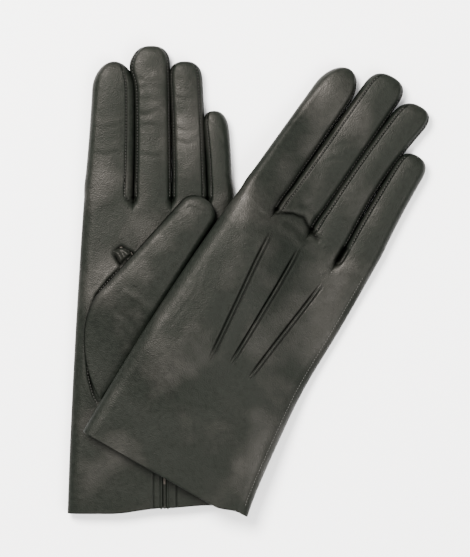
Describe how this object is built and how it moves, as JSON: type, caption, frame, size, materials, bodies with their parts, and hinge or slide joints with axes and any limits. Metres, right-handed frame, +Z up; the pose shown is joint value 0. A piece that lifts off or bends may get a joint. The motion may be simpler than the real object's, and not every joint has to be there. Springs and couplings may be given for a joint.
{
  "type": "pair of leather gloves",
  "caption": "Pair of lined leather dress gloves lying crossed: left palm up with its thumb over the palm, right back up across it, with points, fourchettes and cuff vents.",
  "frame": {"origin": "on the table under the centre of the pair's bounding box", "axes": "+Y from the lower glove's cuff to its fingertips, +X towards the upper glove's fingers, +Z up from the table"},
  "size_m": [0.2018, 0.264, 0.0317],
  "materials": {
    "glove_leather": "smooth semi-matte nappa with soft warm sheen",
    "gusset_leather": "smooth semi-matte nappa",
    "hem_leather": "smooth nappa, pressed flat",
    "seam": "fine black thread and cut leather edge",
    "lining": "soft fine knit"
  },
  "bodies": {
    "left_hand": {"left_hand_leather": "glove_leather", "left_hand_lining": "lining", "left_cuff_hem": "hem_leather", "left_vent_gusset": "gusset_leather", "left_vent_binding": "hem_leather", "left_back_points": "glove_leather", "left_side_seam": "seam", "left_thumb_seam": "seam", "left_thumb_quirk": "gusset_leather"},
    "left_index": {"left_index_leather": "glove_leather", "left_index_fourchettes": "gusset_leather", "left_index_lining": "lining"},
    "left_middle": {"left_middle_leather": "glove_leather", "left_middle_fourchettes": "gusset_leather", "left_middle_lining": "lining"},
    "left_ring": {"left_ring_leather": "glove_leather", "left_ring_fourchettes": "gusset_leather", "left_ring_lining": "lining"},
    "left_little": {"left_little_leather": "glove_leather", "left_little_fourchettes": "gusset_leather", "left_little_lining": "lining"},
    "left_thumb": {"left_thumb_leather": "glove_leather", "left_thumb_lining": "lining"},
    "right_hand": {"right_hand_leather": "glove_leather", "right_hand_lining": "lining", "right_cuff_hem": "hem_leather", "right_vent_gusset": "gusset_leather", "right_vent_binding": "hem_leather", "right_back_points": "glove_leather", "right_side_seam": "seam", "right_thumb_seam": "seam", "right_thumb_quirk": "gusset_leather"},
    "right_index": {"right_index_leather": "glove_leather", "right_index_fourchettes": "gusset_leather", "right_index_lining": "lining"},
    "right_middle": {"right_middle_leather": "glove_leather", "right_middle_fourchettes": "gusset_leather", "right_middle_lining": "lining"},
    "right_ring": {"right_ring_leather": "glove_leather", "right_ring_fourchettes": "gusset_leather", "right_ring_lining": "lining"},
    "right_little": {"right_little_leather": "glove_leather", "right_little_fourchettes": "gusset_leather", "right_little_lining": "lining"},
    "right_thumb": {"right_thumb_leather": "glove_leather", "right_thumb_lining": "lining"}
  },
  "joints": [
    {"name": "left_index_bend", "type": "hinge", "parent": "left_hand", "child": "left_index", "pos_m": [-0.0781, 0.0474, 0.011], "axis": [1, 0, 0], "range_deg": [0, 70]},
    {"name": "left_middle_bend", "type": "hinge", "parent": "left_hand", "child": "left_middle", "pos_m": [-0.0529, 0.0474, 0.011], "axis": [1, 0, 0], "range_deg": [0, 70]},
    {"name": "left_ring_bend", "type": "hinge", "parent": "left_hand", "child": "left_ring", "pos_m": [-0.0321, 0.0474, 0.011], "axis": [1, 0, 0], "range_deg": [0, 70]},
    {"name": "left_little_bend", "type": "hinge", "parent": "left_hand", "child": "left_little", "pos_m": [-0.0153, 0.0474, 0.011], "axis": [1, 0, 0], "range_deg": [0, 70]},
    {"name": "left_thumb_open", "type": "hinge", "parent": "left_hand", "child": "left_thumb", "pos_m": [-0.09164, -0.027, 0.011], "axis": [0, -1, 0], "range_deg": [0, 110]},
    {"name": "right_glove_lift", "type": "slide", "parent": "left_hand", "child": "right_hand", "axis": [0, 0, 1], "range_m": [0, 0.12]},
    {"name": "right_index_lift", "type": "hinge", "parent": "right_hand", "child": "right_index", "pos_m": [0.00671, 0.04679, 0.02285], "axis": [0.8704, -0.4924, 0], "range_deg": [0, 45]},
    {"name": "right_middle_lift", "type": "hinge", "parent": "right_hand", "child": "right_middle", "pos_m": [0.02717, 0.03522, 0.01598], "axis": [0.8704, -0.4924, 0], "range_deg": [0, 45]},
    {"name": "right_ring_lift", "type": "hinge", "parent": "right_hand", "child": "right_ring", "pos_m": [0.04649, 0.02429, 0.011], "axis": [0.8704, -0.4924, 0], "range_deg": [0, 45]},
    {"name": "right_little_lift", "type": "hinge", "parent": "right_hand", "child": "right_little", "pos_m": [0.06468, 0.014, 0.011], "axis": [0.8704, -0.4924, 0], "range_deg": [0, 45]},
    {"name": "right_thumb_drop", "type": "hinge", "parent": "right_hand", "child": "right_thumb", "pos_m": [-0.03243, 0.0023, 0.0203], "axis": [0.4924, 0.8704, 0], "range_deg": [0, 60]}
  ],
  "couplings": [
    {"joint": "right_thumb_drop", "follows": "right_glove_lift", "rad_per_m": 8.6539}
  ]
}
